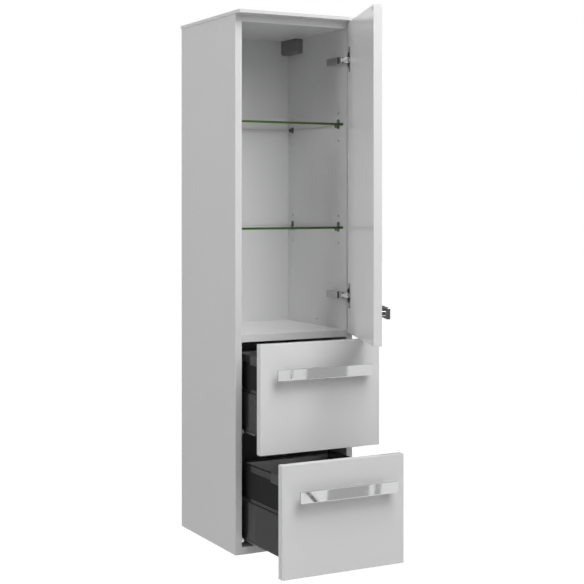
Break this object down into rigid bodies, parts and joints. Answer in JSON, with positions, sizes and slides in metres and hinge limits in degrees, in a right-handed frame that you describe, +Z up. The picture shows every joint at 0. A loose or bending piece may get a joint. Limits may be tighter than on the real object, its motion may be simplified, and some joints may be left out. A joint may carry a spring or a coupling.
{
  "type": "wall-hung mid-height cabinet",
  "caption": "Tall narrow wall-hung bathroom cabinet: a right-hinged door over glass shelves, full-extension drawers below, flat bar handles, shown with the door and drawers open.",
  "frame": {"origin": "on the wall plane, at the middle of the carcass width, level with the underside of the carcass", "axes": "+Z up, +Y into the wall, the fronts face -Y, +X to the right seen from the front"},
  "size_m": [0.316, 0.5944, 1.208],
  "materials": {
    "white_board": "white melamine foil, satin",
    "white_front": "white lacquer, gloss",
    "beech": "bare",
    "grey_board": "anthracite foil, matt",
    "anthracite_steel": "anthracite powder coat, satin",
    "black_steel": "black coat, satin",
    "anthracite_plastic": "moulded, satin",
    "dark_insert": "dark, smooth",
    "dark_plastic": "moulded, satin",
    "clear_plastic": "clear, moulded",
    "shelf_glass": "clear float glass with ground edges",
    "zinc_steel": "zinc-plated sheet",
    "nickel_steel": "nickel-plated",
    "polished_chrome": "polished"
  },
  "bodies": {
    "cabinet": {"side_panel_left": "white_board", "side_panel_right": "white_board", "top_panel": "white_board", "cover_plate": "white_board", "fixed_shelf": "white_board", "bottom_panel": "white_board", "back_panel": "white_board", "carcass_dowels": "beech", "hanger_left": "zinc_steel", "hanger_right": "zinc_steel", "hanger_hooks": "zinc_steel", "hanger_cover_left": "dark_plastic", "hanger_cover_right": "dark_plastic", "hanger_screws": "zinc_steel", "glass_shelf_upper": "shelf_glass", "glass_shelf_lower": "shelf_glass", "shelf_supports_upper": "clear_plastic", "shelf_supports_lower": "clear_plastic", "hinge_plates": "nickel_steel", "hinge_arms": "nickel_steel", "hinge_plate_screws": "zinc_steel", "hinge_arm_covers": "nickel_steel", "upper_cabinet_rails": "zinc_steel", "lower_cabinet_rails": "zinc_steel", "rail_screws": "zinc_steel"},
    "outer_links": {"hinge_outer_links": "nickel_steel"},
    "inner_links": {"hinge_inner_links": "nickel_steel"},
    "door": {"hinge_cups": "nickel_steel", "hinge_cup_screws": "zinc_steel", "door_panel": "white_front", "door_handle": "polished_chrome", "door_handle_studs": "zinc_steel", "door_bumpers": "clear_plastic"},
    "upper_drawer": {"upper_front": "white_front", "upper_side_left": "anthracite_steel", "upper_side_right": "anthracite_steel", "upper_side_inserts": "dark_insert", "upper_gallery_left": "anthracite_steel", "upper_gallery_right": "anthracite_steel", "upper_front_brackets": "anthracite_plastic", "upper_back_wall": "anthracite_steel", "upper_bottom": "grey_board", "upper_handle": "polished_chrome", "upper_handle_studs": "zinc_steel", "upper_drawer_rails": "black_steel"},
    "upper_middle": {"upper_middle_rails": "zinc_steel"},
    "lower_drawer": {"lower_front": "white_front", "lower_side_left": "anthracite_steel", "lower_side_right": "anthracite_steel", "lower_side_inserts": "dark_insert", "lower_gallery_left": "anthracite_steel", "lower_gallery_right": "anthracite_steel", "lower_front_brackets": "anthracite_plastic", "lower_back_wall": "anthracite_steel", "lower_bottom": "grey_board", "lower_handle": "polished_chrome", "lower_handle_studs": "zinc_steel", "lower_drawer_rails": "black_steel"},
    "lower_middle": {"lower_middle_rails": "zinc_steel"}
  },
  "joints": [
    {"name": "outer_link_swing", "type": "hinge", "parent": "cabinet", "child": "outer_links", "pos_m": [0.123, -0.299, 0.568], "axis": [0, 0, 1], "range_deg": [-7.9, 22.1]},
    {"name": "door_turn", "type": "hinge", "parent": "outer_links", "child": "door", "pos_m": [0.13604, -0.31666, 0.568], "axis": [0, 0, 1], "range_deg": [-92.36, 32.28]},
    {"name": "inner_link_swing", "type": "hinge", "parent": "cabinet", "child": "inner_links", "pos_m": [0.1157, -0.313, 0.568], "axis": [0, 0, 1], "range_deg": [-11.1, 31.2]},
    {"name": "upper_drawer_slide", "type": "slide", "parent": "cabinet", "child": "upper_drawer", "axis": [0, -1, 0], "range_m": [-0.102, 0.163]},
    {"name": "upper_middle_slide", "type": "slide", "parent": "cabinet", "child": "upper_middle", "axis": [0, -1, 0], "range_m": [-0.0512, 0.0817]},
    {"name": "lower_drawer_slide", "type": "slide", "parent": "cabinet", "child": "lower_drawer", "axis": [0, -1, 0], "range_m": [-0.203, 0.062]},
    {"name": "lower_middle_slide", "type": "slide", "parent": "cabinet", "child": "lower_middle", "axis": [0, -1, 0], "range_m": [-0.1017, 0.0312]}
  ],
  "couplings": [
    {"joint": "outer_link_swing", "follows": "door_turn", "ratio": -0.2378},
    {"joint": "inner_link_swing", "follows": "door_turn", "ratio": -0.33689},
    {"joint": "upper_middle_slide", "follows": "upper_drawer_slide", "ratio": 0.5},
    {"joint": "lower_middle_slide", "follows": "lower_drawer_slide", "ratio": 0.5}
  ]
}
